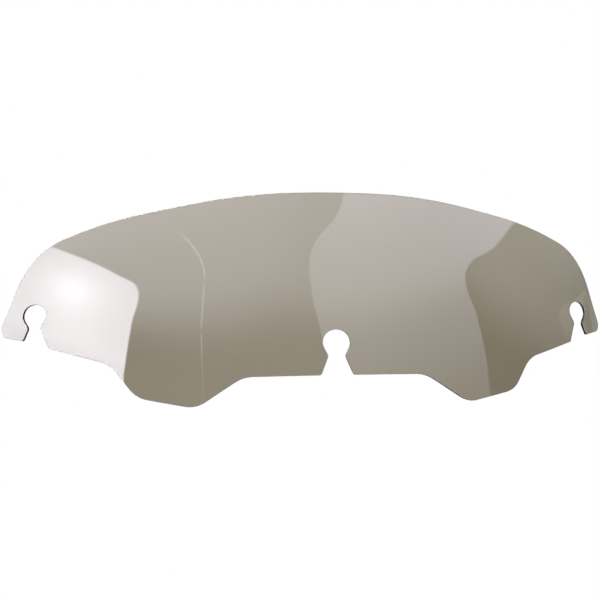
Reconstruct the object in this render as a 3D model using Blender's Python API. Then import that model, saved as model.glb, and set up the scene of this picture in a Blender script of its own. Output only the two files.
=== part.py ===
"""Tinted windshield screen for a motorcycle's handlebar fairing.

The real thing is one piece: a flat blank is cut out of tinted sheet, with
three keyhole slots in its lower edge, and then formed to a bowed, twisted
shape. The model is made the same way. Metres, +Z up, the rider's side to +Y.
"""
import math

import bmesh
import bpy
import numpy as np
from mathutils.geometry import delaunay_2d_cdt

for old in list(bpy.data.objects):
    bpy.data.objects.remove(old, do_unlink=True)

# Flat blank. s runs along the sheet from the centre line, w up the sheet from
# the straight middle stretch of the lower edge.
SHEET_THICKNESS = 0.0024
CENTRE_HEIGHT = 0.1558       # lower edge to top edge, on the centre line
BLANK_HALF_LENGTH = 0.3335   # centre line to the ear's sharp corner, along the sheet

# Top edge: sharp corners of a polygon (s, w) and the radius that rounds each.
CROWN_AT, CROWN_RADIUS = 0.080, 0.900
BROW_AT, BROW_DROP, BROW_RADIUS = 0.205, 0.0124, 0.480
SHOULDER_AT, SHOULDER_DROP, SHOULDER_RADIUS = 0.291, 0.0338, 0.095
EAR_CORNER_HEIGHT = 0.0475
EAR_RADIUS = 0.0085
EAR_EDGE_SLOPE = 0.20

# Lower edge, between the side slot and the centre: the lobe that tucks into
# the fairing, and the edge that climbs from it to the side slot.
LOBE_START = 0.0819          # where the middle stretch turns down
LOBE_START_RADIUS = 0.032
LOBE_TIP_AT, LOBE_DEPTH, LOBE_TIP_RADIUS = 0.124, 0.0256, 0.027
LOBE_HEEL_AT, LOBE_HEEL_RISE, LOBE_HEEL_RADIUS = 0.1786, 0.0104, 0.029
WING_AT, WING_HEIGHT, WING_RADIUS = 0.2041, 0.0151, 0.036
WING_EDGE_SLOPE = 0.265

# Keyhole slots: an oval head, a narrow neck and a mouth that flares.
CENTRE_HEAD_WIDTH, CENTRE_HEAD_TALL = 0.0240, 0.0224
CENTRE_SLOT_HEIGHT = 0.0282  # head centre above the lower edge
CENTRE_NECK_WIDTH = 0.0144
CENTRE_MOUTH_FLARE = 0.42    # sideways run of the mouth's wall per unit down
SIDE_HEAD_WIDTH, SIDE_HEAD_TALL = 0.0278, 0.0204
SIDE_SLOT_AT = 0.2869
SIDE_SLOT_HEIGHT = 0.0642    # head centre above the lower edge's middle stretch
SIDE_NECK_WIDTH = 0.0137
SIDE_MOUTH_FLARE = 0.53
SLOT_SHOULDER = 0.0027       # neck below the place where the head is as wide as it
SLOT_NECK_RADIUS = 0.0045
SLOT_MOUTH_RADIUS = 0.0025

# Formed shape. The bow and twist are polynomials in the distance across,
# as a share of FORM_HALF_WIDTH.
FORM_HALF_WIDTH = 0.305
BOW = (0.466, -0.247, 0.139)         # t^2, t^4 and t^6: how the plan sweeps back
TWIST = (0.367, -0.219)              # t^2 and t^4: the sides lean back with height
FLIP = (-0.382, -0.437)              # 1 and t^2: the top edge kicks forward
FORM_BASE_HEIGHT = 0.0289            # the height that the bow is given at

# Flat seat for the washer round each slot's head.
SEAT_RADIUS = 0.020
SEAT_BLEND = 0.040

# Facets.
GRID_STEP = 0.0125
ARC_STEP = math.radians(15)
EDGE_STEP = 0.011


def rounded(corners):
    """Points along a polygon's edges, each corner (s, w, radius) cut by an arc."""
    points = [np.array(corners[0][:2])]
    for before, corner, after in zip(corners, corners[1:], corners[2:]):
        here = np.array(corner[:2])
        into = here - np.array(before[:2])
        away = np.array(after[:2]) - here
        into /= np.linalg.norm(into)
        away /= np.linalg.norm(away)
        turn = math.atan2(into[0] * away[1] - into[1] * away[0], into @ away)
        radius = corner[2]
        cut = radius * math.tan(abs(turn) / 2)
        side = math.copysign(1.0, turn)
        centre = here - into * cut + side * radius * np.array([-into[1], into[0]])
        steps = max(2, math.ceil(abs(turn) / ARC_STEP), math.ceil(radius * abs(turn) / EDGE_STEP))
        start = here - into * cut - centre
        for i in range(steps + 1):
            a = turn * i / steps
            swung = [start[0] * math.cos(a) - start[1] * math.sin(a),
                     start[0] * math.sin(a) + start[1] * math.cos(a)]
            points.append(centre + swung)
    points.append(np.array(corners[-1][:2]))
    return points


def slot_walls(at, height, head_width, head_tall, neck_width, flare, outer_line, inner_line):
    """Corners of a keyhole slot, from its outer mouth over its head to its inner one.

    A line is (point s, point w, slope) of the sheet's lower edge on that side.
    """
    # worked out with s squeezed so that the oval head is a circle
    squeeze = head_tall / head_width
    radius = head_tall / 2
    neck = neck_width / 2
    neck_drop = math.sqrt(radius ** 2 - (neck * squeeze) ** 2) + SLOT_SHOULDER
    neck_w = height - neck_drop
    # the straight shoulder leaves the head where it is tangent to it
    reach = math.hypot(neck * squeeze, neck_drop)
    lean = math.atan2(-neck_drop, neck * squeeze)
    tangent = lean + math.acos(radius / reach)
    sweep = math.pi - 2 * tangent
    steps = math.ceil(sweep / ARC_STEP)
    head = []
    for i in range(steps + 1):
        a = tangent + sweep * i / steps
        head.append((at + radius / squeeze * math.cos(a), height + radius * math.sin(a), 0.0))

    def mouth(side, line):
        # where the flaring wall meets the lower edge
        s0, w0, slope = line
        drop = (neck_w - w0 - slope * (at + side * neck - s0)) / (1 + slope * side * flare)
        return (at + side * (neck + flare * drop), neck_w - drop, SLOT_MOUTH_RADIUS)

    outer = [mouth(1, outer_line), (at + neck, neck_w, SLOT_NECK_RADIUS)]
    inner = [(at - neck, neck_w, SLOT_NECK_RADIUS), mouth(-1, inner_line)]
    return outer, head, inner


def half_outline():
    """The right half of the blank's edge, from the top centre to the middle slot's head."""
    ear = (BLANK_HALF_LENGTH, EAR_CORNER_HEIGHT)
    top = [
        (0.0, CENTRE_HEIGHT, 0.0),
        (CROWN_AT, CENTRE_HEIGHT, CROWN_RADIUS),
        (BROW_AT, CENTRE_HEIGHT - BROW_DROP, BROW_RADIUS),
        (SHOULDER_AT, CENTRE_HEIGHT - SHOULDER_DROP, SHOULDER_RADIUS),
        (*ear, EAR_RADIUS),
    ]
    wing = (WING_AT, WING_HEIGHT)
    side_outer, side_head, side_inner = slot_walls(
        SIDE_SLOT_AT, SIDE_SLOT_HEIGHT, SIDE_HEAD_WIDTH, SIDE_HEAD_TALL, SIDE_NECK_WIDTH, SIDE_MOUTH_FLARE,
        (*ear, EAR_EDGE_SLOPE), (*wing, WING_EDGE_SLOPE))
    lower = [
        (*wing, WING_RADIUS),
        (LOBE_HEEL_AT, LOBE_HEEL_RISE - LOBE_DEPTH, LOBE_HEEL_RADIUS),
        (LOBE_TIP_AT, -LOBE_DEPTH, LOBE_TIP_RADIUS),
        (LOBE_START, 0.0, LOBE_START_RADIUS),
    ]
    middle_outer, middle_head, _ = slot_walls(
        0.0, CENTRE_SLOT_HEIGHT, CENTRE_HEAD_WIDTH, CENTRE_HEAD_TALL, CENTRE_NECK_WIDTH, CENTRE_MOUTH_FLARE,
        (0.0, 0.0, 0.0), (0.0, 0.0, 0.0))
    half_head = middle_head[:len(middle_head) // 2]
    points = rounded(top + side_outer + side_head[:1])
    points += [np.array(p[:2]) for p in side_head[1:-1]]
    points += rounded(side_head[-1:] + side_inner + lower + middle_outer + half_head[:1])
    points += [np.array(p[:2]) for p in half_head[1:]]
    return points + [np.array([0.0, CENTRE_SLOT_HEIGHT + CENTRE_HEAD_TALL / 2])]


def evenly(points, step):
    """Splits the long straight stretches of an outline."""
    out = []
    for a, b in zip(points, points[1:]):
        parts = max(1, math.ceil(np.linalg.norm(b - a) / step))
        out += [a + (b - a) * i / parts for i in range(parts)]
    return out + [points[-1]]


def blank_outline():
    """The whole edge of the blank, anticlockwise seen from -Y, mirrored about s = 0."""
    right = evenly(half_outline(), EDGE_STEP)
    left = [np.array([-p[0], p[1]]) for p in right[-2:0:-1]]
    return right + left


def across(s):
    """Distance across the screen of a point at s along the blank."""
    t = np.linspace(0.0, 1.2, 1201)
    slope = 2 * BOW[0] * t + 4 * BOW[1] * t ** 3 + 6 * BOW[2] * t ** 5
    run = np.concatenate([[0.0], np.cumsum(np.hypot(1, (slope[1:] + slope[:-1]) / 2) * np.diff(t))])
    return np.sign(s) * FORM_HALF_WIDTH * np.interp(np.abs(s) / FORM_HALF_WIDTH, run, t)


def depth(x, z):
    """How far back the outer face lies at a point x across, z up the sheet."""
    t = x / FORM_HALF_WIDTH
    bow = FORM_HALF_WIDTH * (BOW[0] * t ** 2 + BOW[1] * t ** 4 + BOW[2] * t ** 6)
    twist = z * (TWIST[0] * t ** 2 + TWIST[1] * t ** 4)
    flip = z ** 2 / FORM_HALF_WIDTH * (FLIP[0] + FLIP[1] * t ** 2)
    return bow + twist + flip


def seat_centres():
    """Each slot head's centre, x across and z up the sheet."""
    side = float(across(np.array([SIDE_SLOT_AT]))[0])
    rise = SIDE_SLOT_HEIGHT - FORM_BASE_HEIGHT
    return [(0.0, CENTRE_SLOT_HEIGHT - FORM_BASE_HEIGHT), (side, rise), (-side, rise)]


def formed(blank):
    """Blank points (s, w) bent to the outer face, with a flat seat round each slot."""
    x = across(blank[:, 0])
    z = blank[:, 1] - FORM_BASE_HEIGHT
    y = depth(x, z)
    for seat_x, seat_z in seat_centres():
        nudge = 1e-5
        level = depth(seat_x, seat_z)
        tilt_x = (depth(seat_x + nudge, seat_z) - depth(seat_x - nudge, seat_z)) / (2 * nudge)
        tilt_z = (depth(seat_x, seat_z + nudge) - depth(seat_x, seat_z - nudge)) / (2 * nudge)
        plane = level + tilt_x * (x - seat_x) + tilt_z * (z - seat_z)
        away = np.sqrt((x - seat_x) ** 2 * (1 + tilt_x ** 2) + (z - seat_z) ** 2)
        share = np.clip((SEAT_BLEND - away) / (SEAT_BLEND - SEAT_RADIUS), 0, 1)
        share = share * share * (3 - 2 * share)
        y = y + share * (plane - y)
    return np.column_stack([x, y, z])


def standing_angle(sheet):
    """How far the screen leans back when it stands on its two lobes and two ears."""
    lobes = sheet[np.abs(sheet[:, 0]) < across(np.array([WING_AT]))[0]]
    ears = sheet[np.abs(sheet[:, 0]) > across(np.array([SIDE_SLOT_AT]))[0]]
    low, high = 0.0, math.radians(80)
    for _ in range(50):
        lean = (low + high) / 2
        lobe = (lobes[:, 2] * math.cos(lean) - lobes[:, 1] * math.sin(lean)).min()
        ear = (ears[:, 2] * math.cos(lean) - ears[:, 1] * math.sin(lean)).min()
        if lobe < ear:
            low = lean
        else:
            high = lean
    return lean


def seat_rings(edge):
    """Points round each slot's head, just inside its flat seat, so that the seat has its own facets."""
    heads = [(0.0, CENTRE_SLOT_HEIGHT), (SIDE_SLOT_AT, SIDE_SLOT_HEIGHT), (-SIDE_SLOT_AT, SIDE_SLOT_HEIGHT)]
    ring = []
    for head_s, head_w in heads:
        for turn in range(15, 360, 30):
            s = head_s + SEAT_RADIUS * 0.93 * math.sin(math.radians(turn))
            w = head_w + SEAT_RADIUS * 0.93 * math.cos(math.radians(turn))
            if np.hypot(edge[:, 0] - s, edge[:, 1] - w).min() > GRID_STEP * 0.35:
                ring.append((s, w))
    return ring


def blank_mesh():
    """Triangles over the blank: its edge, and a staggered grid of points inside."""
    outline = blank_outline()
    count = len(outline)
    edge = np.array(outline)
    rows = np.arange(edge[:, 1].min(), edge[:, 1].max(), GRID_STEP * 0.87)
    inner = seat_rings(edge)
    taken = np.vstack([edge, inner])
    for i, w in enumerate(rows):
        shift = GRID_STEP / 2 * (i % 2)
        half = np.arange(shift, edge[:, 0].max(), GRID_STEP)
        for s in np.concatenate([-half[half > 0][::-1], half]):
            gap = np.hypot(taken[:, 0] - s, taken[:, 1] - w).min()
            if gap > GRID_STEP * 0.45:
                inner.append((s, w))
    points = [tuple(p) for p in outline] + inner
    ring = [(i, (i + 1) % count) for i in range(count)]
    verts, _, faces, *_ = delaunay_2d_cdt(points, ring, [], 1, 1e-6)
    used = sorted({i for face in faces for i in face})
    place = {old: new for new, old in enumerate(used)}
    blank = np.array([tuple(verts[i]) for i in used])
    return blank, [tuple(place[i] for i in face) for face in faces]


def tinted_plastic():
    material = bpy.data.materials.new("tinted_acrylic")
    material.use_nodes = True
    shader = material.node_tree.nodes["Principled BSDF"]
    shader.inputs["Base Color"].default_value = (0.30, 0.27, 0.22, 1.0)
    shader.inputs["Roughness"].default_value = 0.03
    shader.inputs["Metallic"].default_value = 0.0
    shader.inputs["IOR"].default_value = 1.49
    shader.inputs["Transmission Weight"].default_value = 0.6
    return material


def windscreen_sheet():
    blank, faces = blank_mesh()
    sheet = formed(blank)
    lean = standing_angle(sheet)
    y = sheet[:, 1] * math.cos(lean) + sheet[:, 2] * math.sin(lean)
    z = sheet[:, 2] * math.cos(lean) - sheet[:, 1] * math.sin(lean)
    bm = bmesh.new()
    verts = [bm.verts.new(p) for p in np.column_stack([sheet[:, 0], y, z])]
    for face in faces:
        bm.faces.new([verts[i] for i in face])
    bmesh.ops.recalc_face_normals(bm, faces=bm.faces)
    bm.faces.ensure_lookup_table()
    # the outer face looks to -Y
    if sum(f.normal.y * f.calc_area() for f in bm.faces) > 0:
        bmesh.ops.reverse_faces(bm, faces=bm.faces)
    mesh = bpy.data.meshes.new("windscreen_sheet")
    bm.to_mesh(mesh)
    bm.free()
    mesh.shade_smooth()
    screen = bpy.data.objects.new("windscreen_sheet", mesh)
    bpy.context.collection.objects.link(screen)
    wall = screen.modifiers.new("sheet thickness", "SOLIDIFY")
    wall.thickness = SHEET_THICKNESS
    wall.offset = -1.0
    wall.use_even_offset = True
    mesh.materials.append(tinted_plastic())
    return screen


def stand_on_origin(screen):
    """Puts the middle of the box's underside at the origin."""
    bpy.context.view_layer.update()
    evaluated = screen.evaluated_get(bpy.context.evaluated_depsgraph_get())
    corners = np.array([v.co[:] for v in evaluated.data.vertices])
    low, high = corners.min(axis=0), corners.max(axis=0)
    screen.location = (0.0, -(low[1] + high[1]) / 2, -low[2])


stand_on_origin(windscreen_sheet())
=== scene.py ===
import math

import bpy
import numpy as np
from mathutils import Euler, Matrix, Vector
from mathutils.geometry import delaunay_2d_cdt


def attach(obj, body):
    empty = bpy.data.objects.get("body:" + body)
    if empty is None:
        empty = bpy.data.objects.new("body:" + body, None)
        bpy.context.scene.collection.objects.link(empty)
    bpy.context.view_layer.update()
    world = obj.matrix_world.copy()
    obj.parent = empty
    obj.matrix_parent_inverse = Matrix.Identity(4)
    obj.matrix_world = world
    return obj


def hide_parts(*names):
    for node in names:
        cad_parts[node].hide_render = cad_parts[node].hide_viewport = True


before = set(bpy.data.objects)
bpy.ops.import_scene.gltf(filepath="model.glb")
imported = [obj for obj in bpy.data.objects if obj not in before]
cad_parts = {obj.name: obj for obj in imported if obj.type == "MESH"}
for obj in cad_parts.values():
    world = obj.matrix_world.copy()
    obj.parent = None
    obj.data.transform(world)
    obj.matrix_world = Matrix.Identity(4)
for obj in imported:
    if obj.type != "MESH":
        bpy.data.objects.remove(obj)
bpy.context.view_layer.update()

# The blank lies flat: s runs along the sheet from its middle, w up the sheet.
# A corner is (s, w, radius that rounds it), all in metres.

blank = {
    "height": 0.1558,
    "crown": (0.080, 0.1558, 0.900),
    "brow": (0.205, 0.1434, 0.480),
    "shoulder": (0.291, 0.1220, 0.095),
    "ear": (0.3335, 0.0475, 0.0085),
    "earEdgeSlope": 0.20,
    "wing": (0.2041, 0.0151, 0.036),
    "wingEdgeSlope": 0.265,
    "lobeHeel": (0.1786, -0.0152, 0.029),
    "lobeTip": (0.124, -0.0256, 0.027),
    "lobeStart": (0.0819, 0.0, 0.032),
    "edgeStep": 0.0014,          # spacing of the points along the cut edge
    "arcStep": 6.0,              # most degrees between points on an arc
    "arcLeast": 4,               # fewest steps in an arc
    "innerStep": 0.0042,         # spacing of the points inside the edge, along a row
    "rowStep": 0.866,            # spacing of the rows, in innerSteps
    "edgeClear": 0.5,            # how far the rows keep from the edge, in innerSteps
    "samePoint": 1e-6,           # points closer than this are one
    "meshGrain": 1e-7,           # how finely the triangles tell points apart
}

keyhole = {
    "shoulder": 0.0027,          # neck below the place where the head is as wide as it
    "neckRadius": 0.0045,
    "mouthRadius": 0.0025,
    "middle": {"at": 0.0, "height": 0.0282, "wide": 0.0240, "tall": 0.0224, "neck": 0.0144, "flare": 0.42},
    "side": {"at": 0.2869, "height": 0.0642, "wide": 0.0278, "tall": 0.0204, "neck": 0.0137, "flare": 0.53},
}


# centre plus (stretch, 1) times radius times (cos, sin) of evenly spaced angles
def arcPoints(centre, radius, start, sweep, stretch=1.0):
    byTurn = math.ceil(abs(sweep) / math.radians(blank["arcStep"]))
    byLength = math.ceil(radius * abs(sweep) / blank["edgeStep"])
    angle = start + sweep * np.linspace(0, 1, max(blank["arcLeast"], byTurn, byLength) + 1)
    across = centre[0] + stretch * radius * np.cos(angle)
    return np.column_stack([across, centre[1] + radius * np.sin(angle)])


# a polygon's line, each inner corner replaced by the arc that touches both its sides:
# the arc starts radius times tan(half the turn) before the corner
def roundedPath(corners):
    pieces = [np.array([corners[0][:2]])]
    for before, corner, after in zip(corners, corners[1:], corners[2:]):
        here = np.array(corner[:2])
        into = here - np.array(before[:2])
        away = np.array(after[:2]) - here
        into /= np.linalg.norm(into)
        away /= np.linalg.norm(away)
        turn = math.atan2(into[0] * away[1] - into[1] * away[0], into @ away)
        radius = corner[2]
        inward = math.copysign(1.0, turn) * np.array([-into[1], into[0]])
        centre = here - into * radius * math.tan(abs(turn) / 2) + radius * inward
        pieces.append(arcPoints(centre, radius, math.atan2(-inward[1], -inward[0]), turn))
    pieces.append(np.array([corners[-1][:2]]))
    return np.vstack(pieces)


# a keyhole's two walls as corners, and the arc of its oval head between them; the straight
# shoulder leaves the head at its tangent, found with the head squeezed to a circle
def keyholeParts(slot, outerLine, innerLine):
    neck = slot["neck"] / 2
    radius = slot["tall"] / 2
    stretch = slot["wide"] / slot["tall"]
    neckDrop = math.sqrt(radius ** 2 - (neck / stretch) ** 2) + keyhole["shoulder"]
    neckHeight = slot["height"] - neckDrop
    reach = math.hypot(neck / stretch, neckDrop)
    tangent = math.atan2(-neckDrop, neck / stretch) + math.acos(radius / reach)
    head = arcPoints((slot["at"], slot["height"]), radius, tangent, math.pi - 2 * tangent, stretch)

    # where the flaring wall meets the lower edge, a line through (s0, w0)
    def mouth(side, line):
        s0, w0, slope = line
        above = neckHeight - w0 - slope * (slot["at"] + side * neck - s0)
        drop = above / (1 + slope * side * slot["flare"])
        return (slot["at"] + side * (neck + slot["flare"] * drop), neckHeight - drop, keyhole["mouthRadius"])

    outer = [mouth(1, outerLine), (slot["at"] + neck, neckHeight, keyhole["neckRadius"])]
    inner = [(slot["at"] - neck, neckHeight, keyhole["neckRadius"]), mouth(-1, innerLine)]
    return outer, head, inner


# every stretch longer than step is cut into equal parts
def splitEvenly(points, step):
    start, run = points[:-1], np.diff(points, axis=0)
    parts = np.maximum(1, np.ceil(np.hypot(*run.T) / step)).astype(int)
    owner = np.repeat(np.arange(len(start)), parts)
    share = (np.arange(parts.sum()) - np.repeat(np.cumsum(parts) - parts, parts)) / parts[owner]
    return np.vstack([start[owner] + run[owner] * share[:, None], points[-1:]])


# the blank's whole edge as a closed clockwise loop, top centre first, mirrored about s = 0
def cutEdge():
    ear, wing, middle = blank["ear"], blank["wing"], keyhole["middle"]
    earEdge = (*ear[:2], blank["earEdgeSlope"])
    wingEdge = (*wing[:2], blank["wingEdgeSlope"])
    level = (0.0, 0.0, 0.0)
    sideOuter, sideHead, sideInner = keyholeParts(keyhole["side"], earEdge, wingEdge)
    midOuter, midHead, _ = keyholeParts(middle, level, level)
    midHead = midHead[midHead[:, 0] > blank["samePoint"]]
    top = [(0.0, blank["height"]), blank["crown"], blank["brow"], blank["shoulder"], ear]
    lower = [wing, blank["lobeHeel"], blank["lobeTip"], blank["lobeStart"]]
    right = np.vstack([
        roundedPath(top + sideOuter + [tuple(sideHead[0])]),
        sideHead[1:-1],
        roundedPath([tuple(sideHead[-1])] + sideInner + lower + midOuter + [tuple(midHead[0])]),
        midHead[1:],
        [[0.0, middle["height"] + middle["tall"] / 2]],
    ])
    right = splitEvenly(right, blank["edgeStep"])
    apart = np.hypot(*np.diff(right, axis=0).T) > blank["samePoint"]
    right = right[np.concatenate([[True], apart])]
    return np.vstack([right, right[-2:0:-1] * [-1, 1]])


form = {
    "thickness": 0.0024,
    "edgeRound": 0.0004,         # polished radius along both sides of the cut
    "roundPoints": 6,            # points on each of those rounds
    "faceMargin": 2.5,           # how far in from the cut the faces start, in edge rounds
    "cutFrom": 0.75,             # the bare cut starts where the rim faces outward by this sine
    "halfWidth": 0.305,
    # factors of t^0, t^2, t^4 and so on, t being the place across in half widths
    "bow": (0.0, 0.466, -0.247, 0.139),
    "twist": (0.0, 0.367, -0.219),
    "flip": (-0.382, -0.437),
    "baseHeight": 0.0289,
    "lean": 38.157,              # degrees back, as it stands on its lobes and ears
    "bowReach": 1.2,             # how far across the bow's length is summed, in half widths
    "bowSteps": 2400,
}


# a0 + a1 t^2 + a2 t^4 and so on
def evenPowers(factors):
    whole = np.zeros(2 * len(factors) - 1)
    whole[::2] = factors
    return np.polynomial.Polynomial(whole)


# rows of vectors, each made one long
def oneLong(rows):
    return rows / np.linalg.norm(rows, axis=1)[:, None]


# depth = bow(t) + h twist(t) + h^2 flip(t), with depth, t across and h up in half widths;
# t comes from s by the bow's own length, and a point lies behind the outer face along the normal
def formedSheet(s, w, behind):
    half = form["halfWidth"]
    steps = np.linspace(0.0, form["bowReach"], form["bowSteps"] + 1)
    bow, twist, flip = (evenPowers(form[name]) for name in ("bow", "twist", "flip"))
    slope = bow.deriv()(steps)
    lengths = np.hypot(1, (slope[1:] + slope[:-1]) / 2) * np.diff(steps)
    t = np.sign(s) * np.interp(np.abs(s) / half, np.concatenate([[0], np.cumsum(lengths)]), steps)
    h = (w - form["baseHeight"]) / half
    depth = bow(t) + h * twist(t) + h ** 2 * flip(t)
    slopeT = bow.deriv()(t) + h * twist.deriv()(t) + h ** 2 * flip.deriv()(t)
    slopeH = twist(t) + 2 * h * flip(t)
    one, zero = np.ones_like(t), np.zeros_like(t)
    normal = oneLong(np.column_stack([slopeT, -one, slopeH]))
    point = half * np.column_stack([t, depth, h]) - normal * np.reshape(behind, (-1, 1))
    return point, normal, oneLong(np.column_stack([one, slopeT, zero]))


# y and z turned about the x axis by the lean
def leanBack(rows):
    angle = math.radians(form["lean"])
    return np.column_stack([
        rows[:, 0],
        rows[:, 1] * math.cos(angle) + rows[:, 2] * math.sin(angle),
        rows[:, 2] * math.cos(angle) - rows[:, 1] * math.sin(angle),
    ])


# anticlockwise triangles inside a closed ring: its own points, plus staggered rows that keep
# clear of it
def fillBlank(ring):
    step = blank["innerStep"]
    rows = np.arange(ring[:, 1].min(), ring[:, 1].max(), step * blank["rowStep"])
    cols = np.arange(0, ring[:, 0].max() + step, step)
    cols = np.concatenate([-cols[:0:-1], cols])
    s, w = np.meshgrid(cols, rows)
    s = s + step / 2 * (np.arange(len(rows)) % 2)[:, None]
    grid = np.column_stack([s.ravel(), w.ravel()])
    gap = np.hypot(grid[:, :1] - ring[:, 0], grid[:, 1:] - ring[:, 1]).min(axis=1)
    grid = grid[gap > step * blank["edgeClear"]]
    count = len(ring)
    links = np.column_stack([np.arange(count), np.roll(np.arange(count), -1)])
    spots = [Vector(p) for p in np.vstack([ring, grid])]
    verts, _, faces, *_ = delaunay_2d_cdt(spots, links.tolist(), [], 1, blank["meshGrain"])
    faces = np.array([tuple(f) for f in faces])
    used = np.unique(faces)
    place = np.full(len(verts), -1)
    place[used] = np.arange(len(used))
    flat = np.array([tuple(v) for v in verts])[used]
    assert np.allclose(flat[:count], ring, atol=blank["samePoint"])
    faces = place[faces]
    across, up = np.moveaxis(flat[faces[:, 1:]] - flat[faces[:, :1]], 2, 0)
    anticlockwise = across[:, 0] * up[:, 1] > up[:, 0] * across[:, 1]
    return flat, np.where(anticlockwise[:, None], faces, faces[:, ::-1])


# the rim from front to back, two quarter rounds with the flat of the cut between them: how far
# in from the cut, how deep, and which way it faces (0 front, a quarter turn out, a half back)
def rimProfile():
    thick, soft = form["thickness"], form["edgeRound"]
    turn = np.linspace(0, math.pi / 2, form["roundPoints"])
    inset = np.concatenate([soft * (1 - np.sin(turn)), soft * (1 - np.cos(turn))])
    depth = np.concatenate([soft * (1 - np.cos(turn)), thick - soft * (1 - np.sin(turn))])
    return inset, depth, np.concatenate([turn, turn + math.pi / 2])


# the outer face, the inner face, and the rim profile carried round the cut edge
def windscreen():
    edge = cutEdge()
    count = len(edge)
    ahead = oneLong(np.roll(edge, -1, axis=0) - np.roll(edge, 1, axis=0))
    inward = np.column_stack([ahead[:, 1], -ahead[:, 0]])
    flat, faces = fillBlank(edge + inward * form["edgeRound"] * form["faceMargin"])
    frontPoint, frontNormal, _ = formedSheet(*flat.T, 0.0)
    backPoint, backNormal, _ = formedSheet(*flat.T, form["thickness"])

    points, normals = [frontPoint, backPoint], [frontNormal, -backNormal]
    inset, depth, facing = rimProfile()
    for inn, deep, face in zip(inset, depth, facing):
        point, normal, alongS = formedSheet(*(edge + inward * inn).T, deep)
        alongW = np.cross(normal, alongS)
        alongW *= np.sign(alongW[:, 2:3])
        outward = -(inward[:, :1] * alongS + inward[:, 1:] * alongW)
        points.append(point)
        normals.append(normal * math.cos(face) + outward * math.sin(face))
    points = leanBack(np.vstack(points))
    normals = oneLong(leanBack(np.vstack(normals)))
    points[:, 1] -= (points[:, 1].min() + points[:, 1].max()) / 2
    points[:, 2] -= points[:, 2].min()

    # each ring is joined to the next by quads, from the outer face's border to the inner face's
    starts = [0] + [2 * len(flat) + k * count for k in range(len(inset))] + [len(flat)]
    rings = [start + np.arange(count) for start in starts]
    strips = [np.column_stack([a, np.roll(a, -1), np.roll(b, -1), b]) for a, b in zip(rings, rings[1:])]
    quads = np.vstack(strips)
    back = faces[:, ::-1] + len(flat)
    mesh = bpy.data.meshes.new("windscreen")
    mesh.from_pydata(points.tolist(), [], faces.tolist() + back.tolist() + quads.tolist())

    # the second material goes on the flat of the cut and the rounds next to it
    facing = np.concatenate([[0.0], facing, [math.pi]])
    onCut = np.sin((facing[1:] + facing[:-1]) / 2) > form["cutFrom"]
    slots = np.concatenate([np.zeros(2 * len(faces), int), np.repeat(onCut, count)])
    mesh.polygons.foreach_set("material_index", slots.astype(int))
    mesh.shade_smooth()
    mesh.normals_split_custom_set_from_vertices(normals.tolist())
    piece = bpy.data.objects.new("windscreen", mesh)
    bpy.context.scene.collection.objects.link(piece)
    return piece


screen = windscreen()
print("windscreen:", len(screen.data.vertices), "points,", len(screen.data.polygons), "faces")


# node shorthand: a value is a number or a socket
def addNode(tree, kind, **settings):
    node = tree.nodes.new(kind)
    for name, value in settings.items():
        setattr(node, name, value)
    return node


def feed(tree, socket, value):
    if isinstance(value, bpy.types.NodeSocket):
        tree.links.new(value, socket)
    else:
        socket.default_value = value


# one Math node
def sums(tree, operation, *values):
    node = addNode(tree, "ShaderNodeMath", operation=operation)
    for socket, value in zip(node.inputs, values):
        feed(tree, socket, value)
    return node.outputs[0]


# all the values multiplied together
def product(tree, first, *others):
    for other in others:
        first = sums(tree, "MULTIPLY", first, other)
    return first


# the value, or 0 where it is less
def notBelowZero(tree, value):
    return sums(tree, "MAXIMUM", value, 0.0)


# a smooth step: toLow below low, toHigh above high
def ramp(tree, value, low, high, toLow=0.0, toHigh=1.0):
    node = addNode(tree, "ShaderNodeMapRange", interpolation_type="SMOOTHSTEP")
    for name, number in (("From Min", low), ("From Max", high), ("To Min", toLow), ("To Max", toHigh)):
        feed(tree, node.inputs[name], number)
    feed(tree, node.inputs["Value"], value)
    return node.outputs["Result"]


# a smooth step down from 1 to least
def fade(tree, value, low, high, least=0.0):
    return ramp(tree, value, low, high, 1.0, least)


# a colour times a number
def lit(tree, colour, strength):
    node = addNode(tree, "ShaderNodeVectorMath", operation="SCALE")
    feed(tree, node.inputs[0], colour)
    feed(tree, node.inputs["Scale"], strength)
    return node.outputs[0]


tint = {
    "colour": (0.330, 0.290, 0.208),       # of the smoke-tinted plastic
    "slantDim": 0.68,
    "slantLift": 0.17,
    "clear": 0.48,               # share of the light that goes straight through, not scattered in the tint
    "ior": 1.49,
    "polish": 0.010,             # roughness of the faces
    "ripple": 0.00003,           # height of the slow waves that forming leaves, metres
    "rippleScale": 7.0,          # waves to a metre, about
    "rippleDetail": 1.0,
}


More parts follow.
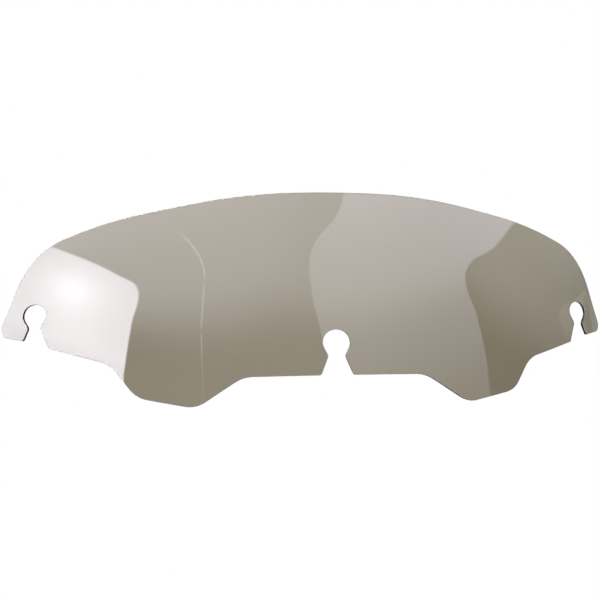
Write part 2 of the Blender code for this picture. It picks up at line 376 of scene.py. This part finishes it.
# light is mirrored by Fresnel's law, and the rest goes through or scatters, coloured by the tint
def tintedPlastic():
    material = bpy.data.materials.new("tinted_acrylic")
    material.use_nodes = True
    tree = material.node_tree
    shader = tree.nodes["Principled BSDF"].inputs
    feed(tree, shader["IOR"], tint["ior"])
    feed(tree, shader["Transmission Weight"], tint["clear"])
    feed(tree, shader["Roughness"], tint["polish"])

    # the slanting way through the plastic is longer, so the tint is deeper there:
    # 1 - slantDim x slant + slantLift x slant squared, slant 0 seen straight on
    slant = addNode(tree, "ShaderNodeLayerWeight").outputs["Facing"]
    bend = sums(tree, "MULTIPLY_ADD", slant, tint["slantLift"], -tint["slantDim"])
    feed(tree, shader["Base Color"], lit(tree, tint["colour"], sums(tree, "MULTIPLY_ADD", slant, bend, 1.0)))

    # slow forming waves, under a tenth of a millimetre high
    waves = addNode(tree, "ShaderNodeTexNoise")
    feed(tree, waves.inputs["Vector"], addNode(tree, "ShaderNodeTexCoord").outputs["Object"])
    feed(tree, waves.inputs["Scale"], tint["rippleScale"])
    feed(tree, waves.inputs["Detail"], tint["rippleDetail"])
    bump = addNode(tree, "ShaderNodeBump")
    feed(tree, bump.inputs["Height"], waves.outputs["Fac"])
    feed(tree, bump.inputs["Distance"], tint["ripple"])
    feed(tree, bump.inputs["Strength"], 1.0)
    feed(tree, shader["Normal"], bump.outputs["Normal"])
    return material


# along the flat of the cut the light has come a long way through the tint: near black, satin
cut = {"colour": (0.006, 0.006, 0.006), "roughness": 0.30, "specular": 0.12}


def sawnEdge():
    material = bpy.data.materials.new("tinted_acrylic_cut")
    material.use_nodes = True
    tree = material.node_tree
    shader = tree.nodes["Principled BSDF"].inputs
    feed(tree, shader["Base Color"], (*cut["colour"], 1.0))
    feed(tree, shader["Roughness"], cut["roughness"])
    feed(tree, shader["Specular IOR Level"], cut["specular"])
    feed(tree, shader["IOR"], tint["ior"])
    return material


screen.data.materials.append(tintedPlastic())
screen.data.materials.append(sawnEdge())
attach(screen, "root")
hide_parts("windscreen_sheet")
print("tinted plastic made")


floor = {"radius": 12.0, "sides": 96, "drop": 0.0004, "brightness": 1.0}


# a white disc: radius times (cos, sin), just under the screen's feet
def paleFloor():
    angle = np.linspace(0, 2 * math.pi, floor["sides"], endpoint=False)
    across, along = floor["radius"] * np.cos(angle), floor["radius"] * np.sin(angle)
    rim = np.column_stack([across, along, np.full_like(angle, -floor["drop"])])
    mesh = bpy.data.meshes.new("floor")
    mesh.from_pydata(rim.tolist(), [], [list(range(len(rim)))])
    piece = bpy.data.objects.new("floor", mesh)
    bpy.context.scene.collection.objects.link(piece)
    material = bpy.data.materials.new("lit_white_floor")
    material.use_nodes = True
    tree = material.node_tree
    tree.nodes.remove(tree.nodes["Principled BSDF"])
    glow = addNode(tree, "ShaderNodeEmission")
    feed(tree, glow.inputs["Strength"], floor["brightness"])
    feed(tree, tree.nodes["Material Output"].inputs["Surface"], glow.outputs[0])
    mesh.materials.append(material)


paleFloor()
print("floor laid")


# White all round for what is seen straight or through the plastic. Mirror reflections see
# the studio: a bright wall in two halves in front, a softbox on the left and a dim right
# side. Angles are in degrees: turn is 0 to the front and + to the right, rise is above the
# floor. A profile is a few (rise, brightness) pairs, an edge a few (rise, turn) pairs, and
# a pair under "rises" or "turns" is where a change begins and ends.
studio = {
    "white": 1.0,
    "edgeBlur": 0.35,            # degrees to each side of an edge
    "softboxEdge": ((0, -63.9), (8, -61.65), (15, -60.2), (20, -58.7), (24, -57.1), (31, -62.4), (42, -71.0)),
    "wallSeam": ((12, 14.9), (19, 14.2), (22, 11.5), (26, 2.9), (29, -0.2), (33, 0.4), (42, 6.8)),
    "sideEdge": ((0, 67.1), (7, 69.0), (11, 68.3), (15, 64.9), (18, 64.7), (22, 69.9), (34, 76.8)),
}

# droop lowers a wall's profile away from its start
studio["leftWall"] = {
    "profile": ((0, 6.8), (8, 6.6), (16, 5.8), (20, 5.3), (24, 4.9), (28, 4.55),
                (32, 3.95), (36, 2.85), (40, 1.65), (44, 0.95), (52, 0.9), (90, 0.9)),
    "start": -30.0,
    "droop": 0.007,
    "colour": (1.04, 1.02, 1.08),
}
studio["rightWall"] = {
    "profile": ((0, 7.3), (16, 7.2), (20, 6.95), (24, 6.35), (28, 5.75), (32, 5.3), (36, 4.6),
                (40, 3.45), (44, 2.7), (48, 2.3), (52, 1.9), (60, 1.3), (90, 1.0)),
    "start": 5.0,
    "droop": 0.0055,
    "colour": (1.05, 1.035, 1.12),
}

# the left wall dims towards the seam, low down
studio["seamShade"] = {"dim": 0.12, "turns": (-25.0, 8.0), "rises": (28.0, 36.0)}

# a thin bright gap in the left wall, broken in two places
studio["gap"] = {
    "edge": ((12, -49.0), (17.4, -44.6), (21.5, -42.1), (26, -40.9),
             (31.1, -42.8), (36.4, -44.7), (48, -47.0)),
    "glow": 2.2,
    "across": (0.126, 0.42),     # degrees from its line where it starts to fade and is gone
    "foot": (17.0, 20.0),
    "head": (38.0, 46.0),
    "headGlow": 0.4,
    "breaks": (28.0, 37.0),
    "breakRises": (0.2, 0.9),
}

# the softbox: its glow is by the angle from its middle
studio["softbox"] = {
    "middle": (-67.0, 18.0),
    "glow": ((0, 20.5), (5, 16.6), (9, 14.6), (13, 13.3), (18, 12.6), (26, 12.2), (90, 11.0)),
    "nearFade": 1.2,
    "lift": 0.11,
    "tilt": 0.018,
    "farEdge": ((0, -90.5), (8.6, -88.2), (13.4, -86.7), (17.2, -84.7), (24, -80.0)),
    "farGlow": 0.90,
    "farBlur": 4.0,
    "colour": (1.01, 1.0, 1.085),
}

studio["rightSide"] = {
    "profile": ((0, 2.7), (4, 2.6), (8, 2.4), (12, 2.35), (16, 1.9),
                (20, 0.95), (24, 0.2), (28, 0.0), (90, 0.0)),
    "dimmer": (66.0, 96.0, 0.33),
    "colour": (1.03, 1.0, 0.97),
}

# a reflector lifts a patch of the right side, and its far foot is dark
studio["patch"] = {
    "edge": ((0, 91.5), (5.9, 88.8), (8.3, 87.1), (9.8, 87.0), (11.9, 89.5), (14, 94.0)),
    "glow": 0.5,
    "rises": (10.0, 13.0),
    "turns": (91.5, 95.0),
}
studio["foot"] = {"dim": 0.35, "turns": (94.0, 99.0), "rises": (1.0, 5.0)}

# behind the screen the studio is plain, brighter overhead
studio["behind"] = {
    "profile": ((0, 0.9), (20, 1.2), (40, 2.2), (60, 2.6), (90, 2.0)),
    "turns": (115.0, 140.0),
}


# a smooth curve through a few (input, value) pairs, the input between 0 and 90; the node
# holds both as shares, of 90 and of the 360 from -180 up
def curveThrough(tree, value, pairs):
    node = addNode(tree, "ShaderNodeFloatCurve")
    curve = node.mapping.curves[0]
    spots = [(a / 90.0, (b + 180.0) / 360.0) for a, b in pairs]
    curve.points[0].location, curve.points[1].location = spots[0], spots[-1]
    for spot in spots[1:-1]:
        curve.points.new(*spot)
    node.mapping.use_clip = False
    node.mapping.update()
    feed(tree, node.inputs["Value"], sums(tree, "DIVIDE", value, 90.0))
    return sums(tree, "MULTIPLY_ADD", node.outputs[0], 360.0, -180.0)


# 1 to the right of an edge, 0 to its left, with a narrow soft change
def past(tree, rise, turn, edge, blur=1.0):
    blur = studio["edgeBlur"] * blur
    return ramp(tree, sums(tree, "SUBTRACT", turn, curveThrough(tree, rise, edge)), -blur, blur)


# a mix of two colours, each a socket or three numbers
def mixColour(tree, factor, first, second):
    node = addNode(tree, "ShaderNodeMix", data_type="RGBA")
    feed(tree, node.inputs[0], factor)
    for socket, value in ((node.inputs[6], first), (node.inputs[7], second)):
        feed(tree, socket, value if isinstance(value, bpy.types.NodeSocket) else (*value, 1.0))
    return node.outputs[2]


# a wall's brightness: its profile at rise + droop x (turn - start)^2, past the start
def wallGlow(tree, wall, rise, turn, side):
    beyond = notBelowZero(tree, product(tree, sums(tree, "SUBTRACT", turn, wall["start"]), side))
    lowered = sums(tree, "MULTIPLY_ADD", product(tree, beyond, beyond), wall["droop"], rise)
    return curveThrough(tree, sums(tree, "MINIMUM", lowered, 90.0), wall["profile"])


# the gap's brightness: full on its line, nothing a little way off it and at the breaks
def gapGlow(tree, rise, turn):
    gap = studio["gap"]
    off = sums(tree, "ABSOLUTE", sums(tree, "SUBTRACT", turn, curveThrough(tree, rise, gap["edge"])))
    glow = ramp(tree, off, *gap["across"], gap["glow"], 0.0)
    ends = product(tree, ramp(tree, rise, *gap["foot"]), fade(tree, rise, *gap["head"], gap["headGlow"]))
    glow = product(tree, glow, ends)
    for middle in gap["breaks"]:
        near = sums(tree, "ABSOLUTE", sums(tree, "SUBTRACT", rise, middle))
        glow = product(tree, glow, ramp(tree, near, *gap["breakRises"]))
    return glow


# the left wall's own glow, less the shade at the seam, plus the gap
def leftWallGlow(tree, rise, turn):
    shade = studio["seamShade"]
    nearSeam = product(tree, ramp(tree, turn, *shade["turns"]), fade(tree, rise, *shade["rises"]))
    shaded = sums(tree, "MULTIPLY_ADD", nearSeam, -shade["dim"], 1.0)
    wall = product(tree, wallGlow(tree, studio["leftWall"], rise, turn, -1.0), shaded)
    return sums(tree, "ADD", wall, gapGlow(tree, rise, turn))


# the dim right side: profile by rise, dimmer by turn, plus the patch, less the dark foot
def rightSideGlow(tree, rise, turn):
    side, patch, foot = studio["rightSide"], studio["patch"], studio["foot"]
    glow = product(tree, curveThrough(tree, rise, side["profile"]), fade(tree, turn, *side["dimmer"]))
    lifted = product(tree, past(tree, rise, turn, patch["edge"]),
                     fade(tree, rise, *patch["rises"]), fade(tree, turn, *patch["turns"]))
    glow = sums(tree, "MULTIPLY_ADD", lifted, patch["glow"], glow)
    dark = product(tree, ramp(tree, turn, *foot["turns"], 0.0, foot["dim"]), fade(tree, rise, *foot["rises"]))
    return product(tree, glow, sums(tree, "SUBTRACT", 1.0, dark))


# the softbox: brightness by the angle away from its middle, counted more on the near side
# (nearFade), rising with height (lift) and to the far side (tilt x both offsets)
def softboxGlow(tree, rise, turn):
    box = studio["softbox"]
    middle = box["middle"]
    beyond = product(tree, sums(tree, "SUBTRACT", middle[0], turn), math.cos(math.radians(middle[1])))
    offTurn = sums(tree, "MAXIMUM", beyond, product(tree, beyond, -box["nearFade"]))
    offRise = sums(tree, "SUBTRACT", rise, middle[1])
    squares = sums(tree, "ADD", product(tree, offTurn, offTurn), product(tree, offRise, offRise))
    away = sums(tree, "MINIMUM", sums(tree, "SQRT", squares), 90.0)
    higher = notBelowZero(tree, offRise)
    tilted = product(tree, notBelowZero(tree, beyond), box["tilt"])
    glow = sums(tree, "MULTIPLY_ADD", tilted, higher, curveThrough(tree, away, box["glow"]))
    glow = sums(tree, "MULTIPLY_ADD", higher, box["lift"], glow)
    nearer = past(tree, rise, turn, box["farEdge"], box["farBlur"])
    return product(tree, glow, ramp(tree, nearer, 0.0, 1.0, box["farGlow"], 1.0))


# the reflected view is picked from left to right by the edges; every other ray sees white
def studioWorld():
    world = bpy.data.worlds.new("studio")
    world.use_nodes = True
    bpy.context.scene.world = world
    tree = world.node_tree
    tree.nodes.clear()
    towards = addNode(tree, "ShaderNodeSeparateXYZ")
    feed(tree, towards.inputs[0], addNode(tree, "ShaderNodeTexCoord").outputs["Generated"])
    x, y, z = towards.outputs
    turn = product(tree, sums(tree, "ARCTAN2", x, product(tree, y, -1.0)), 180 / math.pi)
    rise = product(tree, sums(tree, "ARCSINE", z), 180 / math.pi)

    softbox = lit(tree, studio["softbox"]["colour"], softboxGlow(tree, rise, turn))
    leftWall = lit(tree, studio["leftWall"]["colour"], leftWallGlow(tree, rise, turn))
    rightGlow = wallGlow(tree, studio["rightWall"], rise, turn, 1.0)
    rightWall = lit(tree, studio["rightWall"]["colour"], rightGlow)
    rightSide = lit(tree, studio["rightSide"]["colour"], rightSideGlow(tree, rise, turn))
    view = mixColour(tree, past(tree, rise, turn, studio["softboxEdge"]), softbox, leftWall)
    view = mixColour(tree, past(tree, rise, turn, studio["wallSeam"]), view, rightWall)
    view = mixColour(tree, past(tree, rise, turn, studio["sideEdge"]), view, rightSide)
    start, end = studio["behind"]["turns"]
    behind = sums(tree, "MAXIMUM", ramp(tree, turn, start, end), fade(tree, turn, -end, -start))
    plain = lit(tree, (1.0, 1.0, 1.0), curveThrough(tree, rise, studio["behind"]["profile"]))
    view = mixColour(tree, behind, view, plain)

    path = addNode(tree, "ShaderNodeLightPath").outputs
    mirrored = sums(tree, "SUBTRACT", path["Is Glossy Ray"], path["Is Transmission Ray"])
    mirrored = notBelowZero(tree, mirrored)
    background = addNode(tree, "ShaderNodeBackground")
    feed(tree, background.inputs["Color"], mixColour(tree, mirrored, (studio["white"],) * 3, view))
    output = addNode(tree, "ShaderNodeOutputWorld")
    feed(tree, output.inputs["Surface"], background.outputs[0])


studioWorld()
bpy.context.scene.view_settings.view_transform = "Standard"
print("studio lit")


cameraSpot = {
    "lens": 45.6,
    "sensor": 36.0,
    "nearest": 0.01,
    "place": (-0.12108, -0.59105, 0.41099),
    "turn": 9.047,               # degrees to the right of straight back
    "down": 29.771,
    "tip": 4.235,                # the right side of the frame rises
}


# turned right, tipped about its own axis, then pitched down from level
def stillCamera():
    data = bpy.data.cameras.new("camera")
    data.lens = cameraSpot["lens"]
    data.sensor_width = cameraSpot["sensor"]
    data.clip_start = cameraSpot["nearest"]
    camera = bpy.data.objects.new("camera", data)
    turn, down, tip = (math.radians(cameraSpot[k]) for k in ("turn", "down", "tip"))
    aim = Euler((math.pi / 2 - down, 0.0, -turn)).to_matrix() @ Matrix.Rotation(tip, 3, "Z")
    camera.matrix_world = Matrix.Translation(cameraSpot["place"]) @ aim.to_4x4()
    bpy.context.scene.collection.objects.link(camera)
    bpy.context.scene.camera = camera


stillCamera()
print("camera set")
